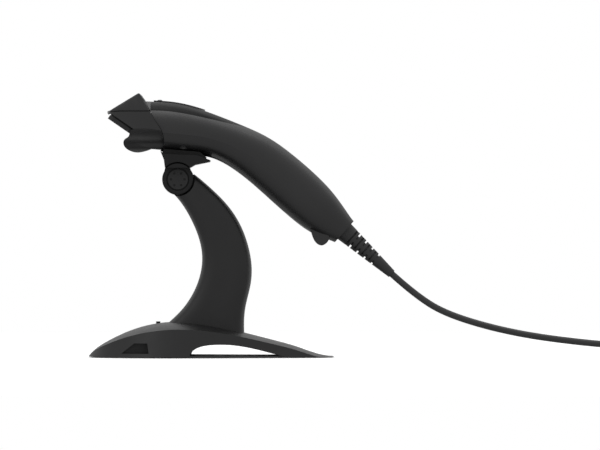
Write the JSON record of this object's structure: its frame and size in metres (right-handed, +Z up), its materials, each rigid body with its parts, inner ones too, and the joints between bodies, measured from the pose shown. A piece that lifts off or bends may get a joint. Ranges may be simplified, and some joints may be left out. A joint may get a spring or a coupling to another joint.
{
  "type": "handheld barcode scanner on stand",
  "caption": "Corded handheld barcode scanner with a curved handle and hooded head, lying in the tilting cradle of a curved-arm presentation stand on a low base.",
  "frame": {"origin": "centre of the underside of the base's feet, on the surface the stand rests on", "axes": "+Z up, -X towards the front where the scanner looks, +X towards the tail where the cord leaves, -Y the scanner's left side"},
  "size_m": [0.462, 0.1667, 0.1952],
  "materials": {
    "shell_plastic": "fine-textured dark grey ABS",
    "hood_plastic": "fine-textured dark grey ABS",
    "stand_plastic": "textured black ABS",
    "gloss_black": "polished black panel",
    "trigger_plastic": "satin dark grey ABS",
    "clear_light": "smoked clear light guide",
    "window": "dark red filter window",
    "rubber": "black rubber",
    "cord_rubber": "matt black cord jacket",
    "label": "blank label film",
    "steel": "zinc plated steel",
    "dark_steel": "black coated steel",
    "iron": "cast ballast",
    "board": "green circuit board laminate",
    "inner_plastic": "black moulded nylon",
    "brass": "brass housing",
    "mirror": "coated mirror",
    "copper": "wound copper coil",
    "nylon": "natural nylon",
    "tie": "black hook-and-loop tie"
  },
  "bodies": {
    "stand": {"base_cover": "stand_plastic", "base_plate": "dark_steel", "base_ballast": "iron", "base_feet": "rubber", "base_screws": "steel", "arm_left_shell": "stand_plastic", "arm_right_shell": "stand_plastic", "arm_shell_screws": "steel", "arm_foot_screws": "steel", "friction_washers": "nylon"},
    "cradle": {"cradle": "stand_plastic", "cradle_pad": "rubber", "cradle_magnet": "steel", "pivot_bolt": "steel", "pivot_nut": "steel", "left_pivot_cap": "stand_plastic", "right_pivot_cap": "stand_plastic"},
    "scanner": {"hood": "hood_plastic", "front_bezel": "shell_plastic", "window_rim": "rubber", "scan_window": "window", "chin_bumper": "rubber", "sensor_lens": "gloss_black", "upper_shell": "shell_plastic", "lower_shell": "shell_plastic", "top_inlay": "gloss_black", "trigger_pin": "steel", "status_light": "clear_light", "label_plate": "label", "rear_foot": "rubber", "housing_screws": "steel", "main_board": "board", "beeper": "inner_plastic", "cord_jack": "inner_plastic", "switch_board": "board", "status_lamp": "clear_light", "trigger_switch": "inner_plastic", "engine_chassis": "inner_plastic", "laser_module": "brass", "mirror_coil": "copper", "detector_board": "board", "strain_relief": "rubber", "cord": "cord_rubber", "cord_tail": "cord_rubber", "cord_coil": "cord_rubber", "cord_tie": "tie", "plug_overmould": "cord_rubber", "plug_shell": "steel", "plug_tongue": "inner_plastic"},
    "trigger": {"trigger_button": "trigger_plastic"},
    "mirror": {"scan_mirror": "mirror"}
  },
  "joints": [
    {"name": "cradle_tilt", "type": "hinge", "parent": "stand", "child": "cradle", "pos_m": [-0.0243, 0, 0.1316], "axis": [0, 1, 0], "range_deg": [-35, 20]},
    {"name": "scanner_lift", "type": "slide", "parent": "cradle", "child": "scanner", "axis": [0, 0, 1], "range_m": [0, 0.06]},
    {"name": "trigger_press", "type": "hinge", "parent": "scanner", "child": "trigger", "pos_m": [-0.0123, 0, 0.1818], "axis": [0, -1, 0], "range_deg": [0, 2], "stiffness_Nm_per_rad": 0.5, "springref_deg": -1.15},
    {"name": "mirror_swing", "type": "hinge", "parent": "scanner", "child": "mirror", "pos_m": [-0.0293, 0, 0.17], "axis": [0, 0, 1], "range_deg": [-8, 8], "stiffness_Nm_per_rad": 0.001}
  ]
}
